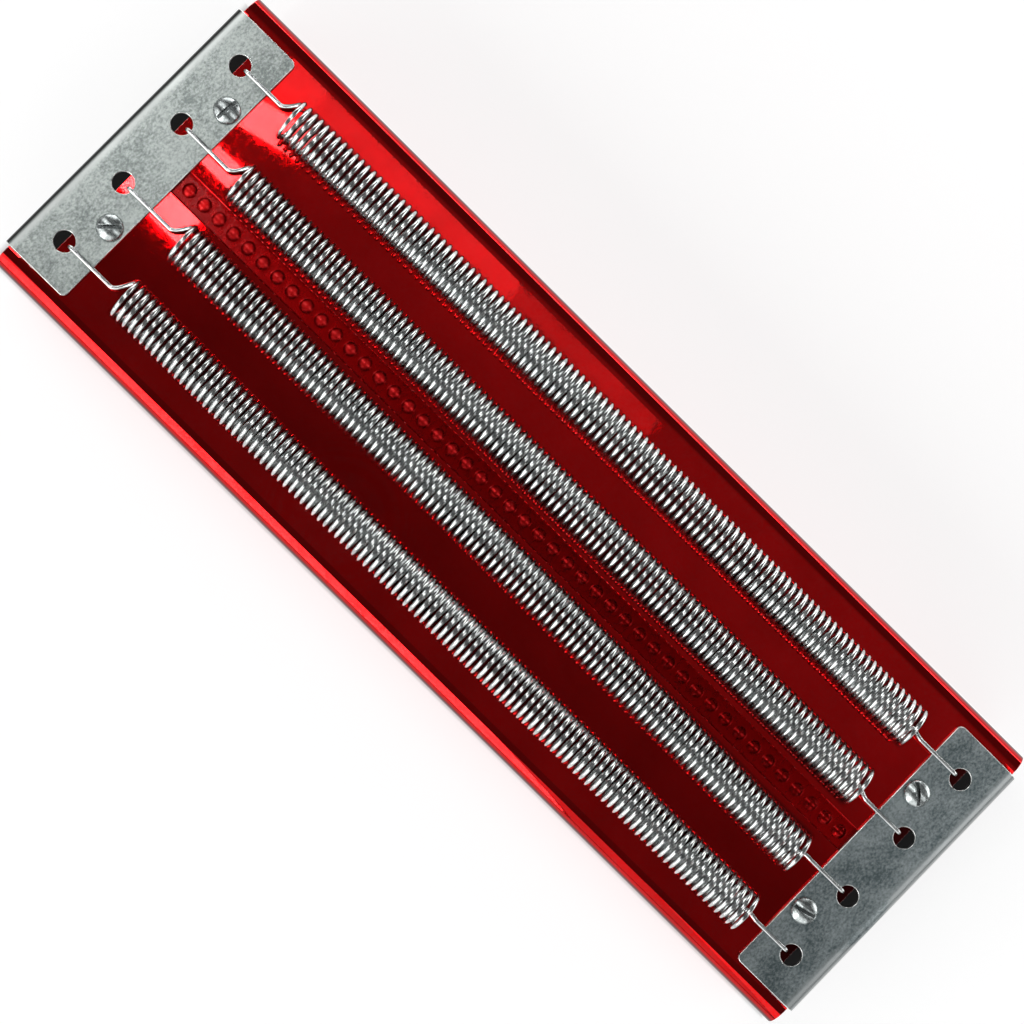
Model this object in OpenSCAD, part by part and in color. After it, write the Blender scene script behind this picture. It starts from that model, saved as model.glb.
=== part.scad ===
// Four-spring scraper: a folded sheet-metal channel with a plated angle bracket
// on each end, and four long coil springs hooked from bracket to bracket.
// The origin is on the surface it stands on, under the middle of the channel.
// X runs along the springs, Y across them and Z up.

/* [Body] */
// Length of the folded channel
body_l = 300; // [260:1:360]
// Width over the channel's side walls
body_w = 103; // [98:1:130]
// Height of the channel
body_h = 50; // [40:1:70]
// Thickness of the channel's sheet
sheet_t = 1.2; // [0.9:0.1:1.6]
// Outer radius of the two long bends
bend_r = 5.5; // [4:0.5:7]
// How far the top plate is cut back at each end
cut_back = 9.8; // [9.4:0.1:10.4]

/* [Beaded strip] */
// Width of the pressed strip along the middle
strip_w = 7.6; // [6:0.1:9]
// Depth that the strip is pressed in
strip_depth = 0.4; // [0.2:0.1:0.6]
// Distance from bead to bead
bead_pitch = 5.6; // [4.5:0.1:9]
// Width of a bead at its foot
bead_w = 3.8; // [3.2:0.1:4.2]
// Height of a bead over the strip
bead_h = 0.9; // [0.7:0.05:1.1]

/* [Brackets] */
// Thickness of the bracket's sheet
bracket_t = 1.5; // [1:0.1:2]
// Width of the flange that lies on the plate
bracket_reach = 22.2; // [21.8:0.1:24]
// Depth of the flange that hangs over the open end
bracket_drop = 20; // [12:1:30]
// Radius inside the bracket's bend
bracket_bend_r = 1.5; // [0.4:0.1:2]
// Radius of the bracket's free corners
bracket_corner_r = 1.7; // [0.5:0.1:4]
// Gap between the hanging flange and the channel's end
end_gap = 0.1; // [0.1:0.1:0.6]
// Gap between the bracket's ends and the start of the bends
side_gap = 0.9; // [0.1:0.05:2]
// Distance from the channel's end to the middle of the hook holes
hole_inset = 10; // [9.7:0.1:10.3]
// Diameter of a hook hole
hole_d = 6.1; // [5.6:0.1:6.4]

/* [Springs] */
// Distance from spring to spring
row_pitch = 22.6; // [20:0.1:24]
// Outer diameter of a coil
coil_d = 12.7; // [10:0.05:14]
// Diameter of the spring wire
wire_d = 1.15; // [0.9:0.05:1.4]
// Height of the coils over the plate
coil_lift = 0.4; // [0.3:0.05:1]
// Number of curls in each spring
curls = 20; // [8:1:24]
// Bare wire from the left hook to the coil
left_lead = 20.6; // [17:0.1:26]
// Bare wire from the right hook to the coil
right_lead = 16.8; // [13:0.1:20]
// Inner radius of the hook's bend
hook_bend_r = 0.3; // [0.2:0.05:0.35]
// Gap between the end of a hook's leg and the plate under it
leg_gap = 0.25; // [0.1:0.05:0.4]
// Clearance between a hook and its bracket
hook_gap = 0.25; // [0.2:0.05:0.4]

/* [Fasteners] */
// Distance from the channel's end to the middle of the screws
screw_inset = 16.1; // [15.9:0.1:16.2]
// Diameter of a screw's shank
screw_d = 4; // [3:0.5:4]
// Clearance of the screw holes, on the diameter
hole_clearance = 0.4; // [0.2:0.1:0.6]
// Clearance of the nut's and washer's bores, on the diameter
nut_clearance = 0.1; // [0.1:0.05:0.3]
// Diameter of a screw's head
head_d = 7.6; // [6.5:0.1:8]
// Height of a screw's head
head_h = 2.6; // [2:0.1:3]
// Height of the straight edge of a head
head_edge = 1; // [0.6:0.1:1.4]
// Width of the driver's slot
driver_slot_w = 1; // [0.8:0.1:1.2]
// Depth of the driver's slot
driver_slot_depth = 1.1; // [0.8:0.1:1.3]
// Angle of each driver's slot to the springs
driver_turns = [85, 42, -42, 15]; // [-90:1:90]
// Outer diameter of a washer
washer_d = 9; // [8.2:0.1:9]
// Thickness of a washer
washer_t = 0.8; // [0.5:0.1:1]
// Width of a nut across its flats
nut_flats = 7; // [6.5:0.1:7]
// Thickness of a nut
nut_t = 3.2; // [2.4:0.1:4]
// How far a screw stands out of its nut
screw_spare = 1; // [0.5:0.1:3]

/* [Hidden] */
$fn = 48;

red = [0.62, 0.03, 0.05];
zinc = [0.60, 0.64, 0.62];
wire_bright = [0.76, 0.77, 0.79];
fastener_grey = [0.70, 0.72, 0.72];

// Space that a cut runs past the surface it starts from
past = 1;
half_l = body_l / 2;
flat_w = body_w - 2 * bend_r;
bracket_w = flat_w - 2 * side_gap;
bracket_top = body_h + bracket_t;
bracket_outer = half_l + end_gap + bracket_t;
bracket_inner = bracket_outer - bracket_reach;
plate_edge = half_l - cut_back;
hole_x = half_l - hole_inset;
screw_x = half_l - screw_inset;
screw_y = row_pitch;
row_count = 4;
// Place of each spring, in row pitches from the middle line
rows = [for (k = [0 : row_count - 1]) (row_count - 1) / 2 - k];
// Side of the channel and side of the middle line for each fastener
fastener_places = [[-1, 1], [-1, -1], [1, 1], [1, -1]];

// The strip runs in under the brackets, and the beads stop before them
strip_tuck = 2;
bead_clear = 0.3;
strip_l = 2 * (bracket_inner + strip_tuck);
strip_z = body_h - strip_depth;
bead_r = (bead_w * bead_w / 4 + bead_h * bead_h) / (2 * bead_h);
bead_z = strip_z + bead_h - bead_r;
bead_steps = floor(2 * (bracket_inner - bead_w / 2 - bead_clear) / bead_pitch);

wire_r = wire_d / 2;
coil_r = (coil_d - wire_d) / 2;
coil_z = body_h + coil_lift + coil_d / 2;
hook_r = hook_bend_r + wire_r;
hook_z = bracket_top + hook_gap + wire_r;
hook_x = hole_x - hole_d / 2 + hook_gap + wire_r;
coil_left = -(hook_x - left_lead);
coil_right = hook_x - right_lead;
leg_end_z = body_h + leg_gap;

// Rings in one curl, sides of the wire, and steps in a bend of the wire
curl_rings = 8;
wire_sides = 6;
lead_steps = 6;
hook_steps = 3;
// A spring's right end leaves the coil at its lowest point
last_quarter = 0.75;
coil_turns = curls - 1 + last_quarter;

// A block's end view with its two upper corners rounded
module arched_outline(width, height, radius) {
    translate([-width / 2, 0])
        square([width, height - radius]);
    translate([-width / 2 + radius, 0])
        square([width - 2 * radius, height]);
    for (side = [-1, 1])
        translate([side * (width / 2 - radius), height - radius])
            circle(radius);
}

// The folded sheet before anything is cut or pressed
module channel() {
    rotate([90, 0, 90])
        linear_extrude(body_l, center = true)
            difference() {
                arched_outline(body_w, body_h, bend_r);
                translate([0, -past])
                    arched_outline(body_w - 2 * sheet_t, body_h - sheet_t + past, bend_r - sheet_t);
            }
}

// Cuts at one end: the plate set back, and two screw holes
module end_cuts() {
    under = body_h - sheet_t - past;
    depth = sheet_t + 2 * past;
    translate([plate_edge, -flat_w / 2, under])
        cube([cut_back + past, flat_w, depth]);
    for (side = [-1, 1])
        translate([screw_x, side * screw_y, under])
            cylinder(d = screw_d + hole_clearance, h = depth);
}

// The strip's block, from a height z and of a thickness
module strip_block(z, thickness) {
    translate([-strip_l / 2, -strip_w / 2, z])
        cube([strip_l, strip_w, thickness]);
}

// The round top of a bead, down to the middle of the sheet
module bead() {
    intersection() {
        translate([0, 0, bead_z])
            sphere(bead_r);
        translate([0, 0, strip_z - sheet_t / 2])
            cylinder(r = bead_r, h = bead_h + sheet_t);
    }
}

// One item at the middle of each bead
module along_strip() {
    for (k = [0 : bead_steps])
        translate([(k - bead_steps / 2) * bead_pitch, 0, 0])
            children();
}

module body_shell() {
    color(red)
        difference() {
            union() {
                difference() {
                    channel();
                    strip_block(strip_z, strip_depth + past);
                }
                strip_block(strip_z - sheet_t, sheet_t);
                along_strip()
                    bead();
            }
            along_strip()
                translate([0, 0, bead_z])
                    sphere(bead_r - sheet_t);
            end_cuts();
            mirror([1, 0, 0])
                end_cuts();
        }
}

// The bracket's end view: one flange on the plate, one down over the end
module bracket_outline() {
    outer_r = bracket_bend_r + bracket_t;
    rest = bracket_reach - bracket_t;
    difference() {
        union() {
            translate([0, bracket_drop - bracket_t])
                square([bracket_reach - outer_r, bracket_t]);
            translate([rest - bracket_bend_r, 0])
                square([outer_r, bracket_drop - outer_r]);
            translate([rest - bracket_bend_r, bracket_drop - outer_r])
                circle(outer_r);
        }
        translate([-past, -past])
            square([rest - bracket_bend_r + past, bracket_drop - bracket_t + past]);
        translate([-past, -past])
            square([rest + past, bracket_drop - outer_r + past]);
        translate([rest - bracket_bend_r, bracket_drop - outer_r])
            circle(bracket_bend_r);
    }
}

// A flange's face, with its two free corners rounded
module flange_outline(depth) {
    radius = bracket_corner_r;
    translate([radius, -bracket_w / 2])
        square([depth - radius, bracket_w]);
    translate([0, -bracket_w / 2 + radius])
        square([radius, bracket_w - 2 * radius]);
    for (side = [-1, 1])
        translate([radius, side * (bracket_w / 2 - radius)])
            circle(radius);
}

// The right-hand bracket
module bracket() {
    bottom = bracket_top - bracket_drop;
    difference() {
        intersection() {
            translate([bracket_inner, 0, bottom])
                rotate([90, 0, 0])
                    linear_extrude(bracket_w, center = true)
                        bracket_outline();
            translate([bracket_inner, 0, bottom - past])
                linear_extrude(bracket_drop + 2 * past)
                    flange_outline(bracket_reach + past);
            translate([bracket_inner - past, 0, bottom])
                rotate([0, -90, 180])
                    linear_extrude(bracket_reach + 2 * past)
                        flange_outline(bracket_drop + past);
        }
        for (row = rows)
            translate([hole_x, row * row_pitch, body_h - past])
                cylinder(d = hole_d, h = bracket_t + 2 * past);
        for (side = [-1, 1])
            translate([screw_x, side * screw_y, body_h - past])
                cylinder(d = screw_d + hole_clearance, h = bracket_t + 2 * past);
    }
}

module left_bracket() {
    color(zinc)
        mirror([1, 0, 0])
            bracket();
}

module right_bracket() {
    color(zinc)
        bracket();
}

// A point on a smooth curve from a to d that b and c draw out
function curve_point(a, b, c, d, t) =
    a * pow(1 - t, 3) + 3 * b * t * pow(1 - t, 2) + 3 * c * t * t * (1 - t) + d * pow(t, 3);

// A hook from its straight wire over the hole's rim and down to the plate
function hook_points(side) = concat(
    [for (k = [0 : hook_steps])
        let (turn = 90 * k / hook_steps)
        [side * (hook_x - hook_r + hook_r * sin(turn)), 0, hook_z - hook_r + hook_r * cos(turn)]],
    [[side * hook_x, 0, leg_end_z]]);

// The left lead leaves the coil at its side and bends down to the hook's line
function left_lead_points() = [for (k = [1 : lead_steps])
    curve_point(
        [coil_left, coil_r, coil_z],
        [coil_left - coil_r / 4, coil_r, coil_z - coil_r / 2],
        [coil_left - coil_r * 0.4, 0, hook_z],
        [coil_left - coil_r * 0.85, 0, hook_z],
        k / lead_steps)];

// The right lead leaves the coil at its foot and rises to the hook's line
function right_lead_points() = [for (k = [1 : lead_steps])
    curve_point(
        [coil_right, 0, coil_z - coil_r],
        [coil_right + coil_r * 0.15, coil_r * 0.3, coil_z - coil_r],
        [coil_right + coil_r * 0.3, 0, hook_z],
        [coil_right + coil_r * 0.7, 0, hook_z],
        k / lead_steps)];

function coil_points() = let (count = coil_turns * curl_rings)
    [for (k = [0 : count])
        let (turn = 360 * k / curl_rings)
        [coil_left + (coil_right - coil_left) * k / count,
            coil_r * cos(turn), coil_z + coil_r * sin(turn)]];

function reversed(list) = [for (k = [len(list) - 1 : -1 : 0]) list[k]];

function spring_points() = concat(
    reversed(concat(left_lead_points(), hook_points(-1))),
    coil_points(),
    right_lead_points(),
    hook_points(1));

function unit(v) = v / norm(v);

// The wire's direction at each of its points
function directions(p) = let (last = len(p) - 1)
    [for (k = [0 : last]) unit(p[min(k + 1, last)] - p[max(k - 1, 0)])];

// A side direction carried along the wire without twisting it
function carried(side, direction) = unit(side - (side * direction) * direction);
function side_directions(d) = let (last = len(d) - 1)
    [for (k = 0, side = carried([1, 0, 0], d[0]);
        k <= last;
        k = k + 1, side = carried(side, d[min(k, last)])) side];

// The least gap of a wire to itself, past its nearest neighbours
function least_gap(p, diameter, neighbours) =
    min([for (j = [0 : len(p) - 1]) for (k = [j + neighbours : 1 : len(p) - 1]) norm(p[j] - p[k])])
    - diameter;

// A closed tube round a row of points
module tube(p, radius, sides) {
    d = directions(p);
    s = side_directions(d);
    count = len(p);
    points = [for (k = [0 : count - 1]) for (j = [0 : sides - 1])
        let (turn = 360 * j / sides)
        p[k] + radius * (cos(turn) * s[k] + sin(turn) * cross(d[k], s[k]))];
    walls = [for (k = [0 : count - 2]) for (j = [0 : sides - 1])
        let (a = k * sides + j, b = k * sides + (j + 1) % sides)
        each [[a, a + sides, b], [b, a + sides, b + sides]]];
    first_cap = [for (j = [1 : sides - 2]) [0, j, j + 1]];
    last_cap = [for (j = [1 : sides - 2])
        let (a = (count - 1) * sides)
        [a, a + j + 1, a + j]];
    polyhedron(points, concat(walls, first_cap, last_cap));
}

module spring(row) {
    color(wire_bright)
        translate([0, row * row_pitch, 0])
            tube(spring_points(), wire_r, wire_sides);
}

echo(least_gap_of_spring_wire = least_gap(spring_points(), wire_d, curl_rings - 2));

// One item at a fastener's place, at a height
module at_fastener(place, z) {
    translate([place[0] * screw_x, place[1] * screw_y, z])
        children();
}

module screw(number) {
    rise = head_h - head_edge;
    dome_r = (head_d * head_d / 4 + rise * rise) / (2 * rise);
    shank_l = bracket_t + sheet_t + washer_t + nut_t + screw_spare;
    color(fastener_grey)
        at_fastener(fastener_places[number - 1], bracket_top)
            difference() {
                union() {
                    intersection() {
                        cylinder(d = head_d, h = head_h);
                        translate([0, 0, head_h - dome_r])
                            sphere(dome_r);
                    }
                    translate([0, 0, -shank_l])
                        cylinder(d = screw_d, h = shank_l + head_edge / 2);
                }
                rotate([0, 0, driver_turns[number - 1]])
                    translate([-head_d, -driver_slot_w / 2, head_h - driver_slot_depth])
                        cube([2 * head_d, driver_slot_w, driver_slot_depth + past]);
            }
}

module washer(number) {
    color(fastener_grey)
        at_fastener(fastener_places[number - 1], body_h - sheet_t - washer_t)
            difference() {
                cylinder(d = washer_d, h = washer_t);
                translate([0, 0, -past])
                    cylinder(d = screw_d + nut_clearance, h = washer_t + 2 * past);
            }
}

module nut(number) {
    corners_d = nut_flats / cos(30);
    color(fastener_grey)
        at_fastener(fastener_places[number - 1], body_h - sheet_t - washer_t - nut_t)
            difference() {
                cylinder(d = corners_d, h = nut_t, $fn = 6);
                translate([0, 0, -past])
                    cylinder(d = screw_d + nut_clearance, h = nut_t + 2 * past);
            }
}

body_shell();
left_bracket();
right_bracket();
spring(rows[0]);  // spring_1
spring(rows[1]);  // spring_2
spring(rows[2]);  // spring_3
spring(rows[3]);  // spring_4
screw(1);  // screw_1
screw(2);  // screw_2
screw(3);  // screw_3
screw(4);  // screw_4
washer(1);  // washer_1
washer(2);  // washer_2
washer(3);  // washer_3
washer(4);  // washer_4
nut(1);  // nut_1
nut(2);  // nut_2
nut(3);  // nut_3
nut(4);  // nut_4
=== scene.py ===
"""Looks of a four-spring scraper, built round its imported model.

A folded red sheet carries a plated angle bracket at each end, and four wound springs run from bracket
to bracket. Each piece is modelled again with its finer edges, curls and finish, in the place that the
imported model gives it. Lengths are in metres: X runs along the springs, Y across them and Z up.
"""

import sys
import logging
import math
from dataclasses import dataclass
from enum import Enum
from functools import reduce
from typing import Callable, Iterable, Sequence

import bmesh
import bpy
from mathutils import Euler, Matrix, Vector


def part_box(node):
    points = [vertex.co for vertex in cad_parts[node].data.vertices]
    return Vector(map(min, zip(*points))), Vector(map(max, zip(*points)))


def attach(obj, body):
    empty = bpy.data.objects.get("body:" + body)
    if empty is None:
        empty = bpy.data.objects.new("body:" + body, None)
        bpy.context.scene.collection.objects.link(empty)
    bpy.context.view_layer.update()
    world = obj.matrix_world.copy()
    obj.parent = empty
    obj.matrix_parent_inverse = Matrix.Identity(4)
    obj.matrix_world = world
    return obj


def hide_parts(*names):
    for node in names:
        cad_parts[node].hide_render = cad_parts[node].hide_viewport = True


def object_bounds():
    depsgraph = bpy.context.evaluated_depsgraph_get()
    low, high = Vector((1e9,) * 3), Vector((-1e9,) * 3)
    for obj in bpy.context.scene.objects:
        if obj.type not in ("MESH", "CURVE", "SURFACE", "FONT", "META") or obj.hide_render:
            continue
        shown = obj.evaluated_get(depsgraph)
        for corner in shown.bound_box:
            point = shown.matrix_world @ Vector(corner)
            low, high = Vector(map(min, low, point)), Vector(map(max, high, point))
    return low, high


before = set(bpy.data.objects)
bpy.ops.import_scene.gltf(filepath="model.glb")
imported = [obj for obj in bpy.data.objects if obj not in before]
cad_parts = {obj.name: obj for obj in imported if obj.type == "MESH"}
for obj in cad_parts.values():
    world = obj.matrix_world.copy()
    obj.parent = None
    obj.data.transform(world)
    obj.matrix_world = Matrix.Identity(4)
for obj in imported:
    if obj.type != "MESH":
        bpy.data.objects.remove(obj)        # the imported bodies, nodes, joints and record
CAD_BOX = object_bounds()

MM = 0.001
WELD = 0.002 * MM
CHANNEL = "channel"

Mesh = bmesh.types.BMesh
Vert = bmesh.types.BMVert
Edge = bmesh.types.BMEdge
Object = bpy.types.Object
Material = bpy.types.Material
Node = bpy.types.ShaderNode
Socket = bpy.types.NodeSocket
Pair = tuple[float, float]
Triple = tuple[float, float, float]
Profile = list[Pair]

log = logging.getLogger("scraper")


class End(Enum):
    """The two ends of the object, by the sign of X."""

    LEFT = -1
    RIGHT = 1


class Slot(Enum):
    """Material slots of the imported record."""

    RED_SHEET = "red_sheet"
    BRACKET = "plated_bracket"
    WIRE = "spring_wire"
    FASTENER = "fastener"


# Mesh tools


def verts_of(made: Iterable) -> list[Vert]:
    """Pick the vertices out of what an operator made."""
    return [item for item in made if isinstance(item, Vert)]


def edges_of(made: Iterable) -> list[Edge]:
    """Pick the edges out of what an operator made."""
    return [item for item in made if isinstance(item, Edge)]


def border_of(mesh: Mesh) -> list[Edge]:
    """Give the edges at a surface's border."""
    return [edge for edge in mesh.edges if edge.is_boundary]


def extend(mesh: Mesh, edges: Sequence[Edge]) -> list[Vert]:
    """Grow a face from each edge, and give their far vertices, which still lie on the near ones."""
    return verts_of(bmesh.ops.extrude_edge_only(mesh, edges=edges)["geom"])


def fill_flat(mesh: Mesh, edges: Sequence[Edge]) -> None:
    """Fill a flat outline, and leave the holes in it open."""
    bmesh.ops.triangle_fill(mesh, edges=edges, normal=(0, 0, 1), use_beauty=True, use_dissolve=True)


def chain(mesh: Mesh, places: Sequence[Vector]) -> list:
    """Lay a row of edges through the given places.

    Args:
        mesh: The mesh that gets the row.
        places: Two or more places, in order.

    Returns:
        The row's vertices and edges, as an operator takes them.
    """
    vert = bmesh.ops.create_vert(mesh, co=places[0])["vert"][0]
    row = [vert]
    for place in places[1:]:
        grown = bmesh.ops.extrude_vert_indiv(mesh, verts=[vert])
        vert = grown["verts"][0]
        vert.co = place
        row += [grown["edges"][0], vert]
    return row


def lathe(mesh: Mesh, profile: Profile, steps: int) -> None:
    """Turn a profile once round the Z axis and close its seam and poles.

    Args:
        mesh: The mesh that gets the turned surface.
        profile: Radius and height of each point, in order.
        steps: Number of faces round the axis.
    """
    row = chain(mesh, [Vector((radius, 0, height)) for radius, height in profile])
    bmesh.ops.spin(mesh, geom=row, cent=(0, 0, 0), axis=(0, 0, 1), angle=math.tau, steps=steps,
                   use_merge=True)
    bmesh.ops.remove_doubles(mesh, verts=mesh.verts[:], dist=WELD)


def face_outwards(mesh: Mesh) -> None:
    """Turn the faces of a closed shape outwards.

    Args:
        mesh: The closed shape.
    """
    bmesh.ops.recalc_face_normals(mesh, faces=mesh.faces[:])
    if mesh.calc_volume(signed=True) < 0:
        bmesh.ops.reverse_faces(mesh, faces=mesh.faces[:])


def turned(profile: Profile, steps: int) -> Mesh:
    """Turn a closed profile into a solid.

    Args:
        profile: Radius and height of each point, in order.
        steps: Number of faces round the axis.

    Returns:
        The solid, with its faces outwards.
    """
    mesh = bmesh.new()
    lathe(mesh, profile, steps)
    face_outwards(mesh)
    return mesh


def thicken(mesh: Mesh, inward: Callable[[Vector], Vector]) -> None:
    """Give an open surface its sheet thickness.

    Args:
        mesh: The outer surface of a sheet, which becomes the closed sheet.
        inward: Says for a place on the outer surface how far the inner one lies from it.
    """
    bmesh.ops.recalc_face_normals(mesh, faces=mesh.faces[:])
    grown = bmesh.ops.extrude_face_region(mesh, geom=mesh.faces[:], use_keep_orig=True)
    for vert in verts_of(grown["geom"]):
        vert.co += inward(vert.co)
    face_outwards(mesh)


def round_edges(mesh: Mesh, width: float, segments: int, over: float = 50, index: int = 0) -> None:
    """Round each edge that is sharper than an angle.

    Args:
        mesh: The mesh to work on.
        width: Width of the rounding on each side of the edge.
        segments: Number of faces across the rounding.
        over: Least angle between an edge's two faces, in degrees.
        index: Place of the rounding's finish among the piece's, or 0 for its neighbours' finish.
    """
    limit = math.radians(over)
    edges = [edge for edge in mesh.edges if edge.calc_face_angle(0) > limit]
    made = bmesh.ops.bevel(mesh, geom=edges, offset=width, offset_type="OFFSET", affect="EDGES",
                           segments=segments, profile=0.5, material=-1, clamp_overlap=False)
    for face in made["faces"] if index else ():
        face.material_index = index


def move(mesh: Mesh, place: Vector, turn: float = 0) -> None:
    """Turn a whole mesh about Z and carry it to its place.

    Args:
        mesh: The mesh, centred on the origin.
        place: Where its origin goes.
        turn: Angle about Z, in degrees.
    """
    about_z = Matrix.Rotation(math.radians(turn), 3, "Z")
    bmesh.ops.rotate(mesh, verts=mesh.verts[:], cent=(0, 0, 0), matrix=about_z)
    bmesh.ops.translate(mesh, verts=mesh.verts[:], vec=place)


def add_object(name: str, data: bpy.types.ID) -> Object:
    """Put a new object into the scene.

    Args:
        name: Its name.
        data: Its mesh, curve, light or camera.

    Returns:
        The object, at the origin.
    """
    item = bpy.data.objects.new(name, data)
    bpy.context.scene.collection.objects.link(item)
    return item


def add_mesh(mesh: Mesh, name: str, *finishes: Material) -> Object:
    """Put a mesh into the scene as an object.

    Args:
        mesh: The mesh in its place, which is freed.
        name: The object's name.
        finishes: Its materials, in the order of the faces' indices.

    Returns:
        The object.
    """
    data = bpy.data.meshes.new(name)
    mesh.to_mesh(data)
    mesh.free()
    for finish in finishes:
        data.materials.append(finish)
    return add_object(name, data)


def read_back(item: Object) -> Mesh:
    """Read an object's shape back, with its modifiers or its sweep.

    Args:
        item: The object.

    Returns:
        Its mesh, with the doubles merged.
    """
    shaped = item.evaluated_get(bpy.context.evaluated_depsgraph_get())
    mesh = bmesh.new()
    mesh.from_mesh(shaped.to_mesh())
    shaped.to_mesh_clear()
    bmesh.ops.remove_doubles(mesh, verts=mesh.verts[:], dist=WELD)
    return mesh


def cut(mesh: Mesh, tool: Mesh, operation: str = "DIFFERENCE") -> Mesh:
    """Cut one closed mesh with another.

    Args:
        mesh: The mesh that is cut, and freed.
        tool: The closed mesh that cuts it, and is freed too.
        operation: Name of the solid operation, DIFFERENCE or INTERSECT.

    Returns:
        The mesh that is left.
    """
    solids = [add_mesh(part, "cutting") for part in (mesh, tool)]
    modifier = solids[0].modifiers.new("cut", "BOOLEAN")
    modifier.operation = operation
    modifier.solver = "EXACT"
    modifier.object = solids[1]
    result = read_back(solids[0])
    for solid in solids:
        bpy.data.meshes.remove(solid.data)
    return result


def add_piece(mesh: Mesh, name: str, slot: Slot, node: str, *finishes: Material, body: str = CHANNEL) -> None:
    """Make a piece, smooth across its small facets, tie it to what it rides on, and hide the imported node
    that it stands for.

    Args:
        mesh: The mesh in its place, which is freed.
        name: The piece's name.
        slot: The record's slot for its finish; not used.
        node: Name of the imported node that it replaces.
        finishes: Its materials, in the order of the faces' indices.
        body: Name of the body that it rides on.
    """
    for face in mesh.faces:
        face.smooth = True
    piece = add_mesh(mesh, name, *finishes)
    even = piece.modifiers.new("even_shading", "WEIGHTED_NORMAL")
    even.keep_sharp = True
    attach(piece, body)
    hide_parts(node)
    log.info("%s: %d vertices, on %s", piece.name, len(piece.data.vertices), body)


# Finishes


@dataclass(frozen=True)
class Grain:
    """A noise: its repeats per metre along X, Y and Z, its finer layers, and their strength."""

    scale: Triple
    layers: float = 3
    strength: float = 0.55


class Nodes:
    """A tree of shader nodes in the making."""

    def __init__(self, tree: bpy.types.NodeTree) -> None:
        """Take up a tree."""
        self.tree = tree

    def feed(self, target: Socket, value: Socket | float | Sequence[float]) -> None:
        """Give an input its value.

        Args:
            target: The input.
            value: A socket to link, or the value itself: a number, a vector or a colour.
        """
        if isinstance(value, Socket):
            self.tree.links.new(value, target)
        elif target.type == "RGBA":
            target.default_value = (*value, 1)
        else:
            target.default_value = value

    def add(self, kind: str, inputs: dict | None = None, **settings: str) -> Node:
        """Add a node.

        Args:
            kind: Its type name, after ShaderNode.
            inputs: What is fed to its inputs, by their name or number.
            settings: Values of its own properties.

        Returns:
            The new node.
        """
        node = self.tree.nodes.new(f"ShaderNode{kind}")
        for key, value in settings.items():
            setattr(node, key, value)
        for key, value in (inputs or {}).items():
            self.feed(node.inputs[key], value)
        return node

    def place(self) -> Socket:
        """Give object coordinates, in metres."""
        return self.add("TexCoord").outputs["Object"]

    def axis(self, name: str) -> Socket:
        """Give one object coordinate, in metres."""
        return self.add("SeparateXYZ", {0: self.place()}).outputs[name]

    def noise(self, grain: Grain) -> Socket:
        """Give a noise on object coordinates.

        Args:
            grain: Its scale, layers and strength.

        Returns:
            The noise, from 0 to 1.
        """
        stretched = self.add("Mapping", {"Vector": self.place(), "Scale": grain.scale}).outputs[0]
        inputs = {"Vector": stretched, "Scale": 1, "Detail": grain.layers, "Roughness": grain.strength}
        return self.add("TexNoise", inputs).outputs["Fac"]

    def work_out(self, operation: str, *values: Socket | float) -> Socket:
        """Work out what a Math node knows."""
        return self.add("Math", dict(enumerate(values)), operation=operation).outputs[0]

    def product(self, *values: Socket | float) -> Socket:
        """Multiply values."""
        return reduce(lambda first, second: self.work_out("MULTIPLY", first, second), values)

    def distance(self, value: Socket, place: float = 0) -> Socket:
        """Give how far a value lies from a place, whichever side it is on."""
        return self.work_out("ABSOLUTE", self.work_out("SUBTRACT", value, place))

    def away(self, axis: str, place: float, low: float, high: float, begin: float, end: float) -> Socket:
        """Spread the distance from a place on an axis, from low at its beginning to high at its end."""
        return self.spread(self.distance(self.axis(axis), place), low, high, begin, end)

    def spread(self, value: Socket, low: float, high: float, begin: float = 0.3, end: float = 0.7,
               kind: str = "LINEAR") -> Socket:
        """Spread a value from one range over another.

        Args:
            value: The value that is spread.
            low: Result at the range's beginning.
            high: Result at the range's end.
            begin: Where the value's range begins.
            end: Where the value's range ends.
            kind: Shape of the slope, LINEAR or SMOOTHSTEP.

        Returns:
            The result.
        """
        inputs = {"Value": value, "From Min": begin, "From Max": end, "To Min": low, "To Max": high}
        return self.add("MapRange", inputs, interpolation_type=kind).outputs["Result"]

    def blend(self, share: Socket, first: Triple | Socket, second: Triple) -> Socket:
        """Blend two colours.

        Args:
            share: The second colour's share.
            first: Colour at a share of 0.
            second: Colour at a share of 1.

        Returns:
            The blended colour.
        """
        node = self.add("Mix", {"Factor": share}, data_type="RGBA")
        colours = [socket for socket in node.inputs if socket.type == "RGBA"]
        for target, colour in zip(colours, (first, second)):
            self.feed(target, colour)
        return next(socket for socket in node.outputs if socket.type == "RGBA")

    def shade(self, colour: Socket, share: Socket) -> Socket:
        """Keep only a share of a colour."""
        return self.add("VectorMath", {0: colour, "Scale": share}, operation="SCALE").outputs[0]

    def bump(self, height: Socket, depth: float, below: Socket | None = None) -> Socket:
        """Raise a surface by a pattern.

        Args:
            height: The pattern, from 0 to 1.
            depth: Height of the pattern in metres.
            below: A coarser bump that this one lies on.

        Returns:
            The bent normal.
        """
        inputs = {"Height": height, "Distance": depth}
        if below is not None:
            inputs["Normal"] = below
        return self.add("Bump", inputs).outputs["Normal"]


class Shader(Nodes):
    """A material in the making, with its one surface shader."""

    def __init__(self, name: str) -> None:
        """Start the material.

        Args:
            name: Its name.
        """
        self.material = bpy.data.materials.new(name)
        self.material.use_nodes = True
        super().__init__(self.material.node_tree)
        self.surface = self.tree.nodes["Principled BSDF"]

    def set(self, **values: Socket | float | Triple) -> Material:
        """Feed the surface shader.

        Args:
            values: Value for each input, with underscores for the spaces of its name.

        Returns:
            The material.
        """
        for key, value in values.items():
            self.feed(self.surface.inputs[key.replace("_", " ")], value)
        return self.material


ROLLED = Grain((620, 420, 420))


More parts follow.
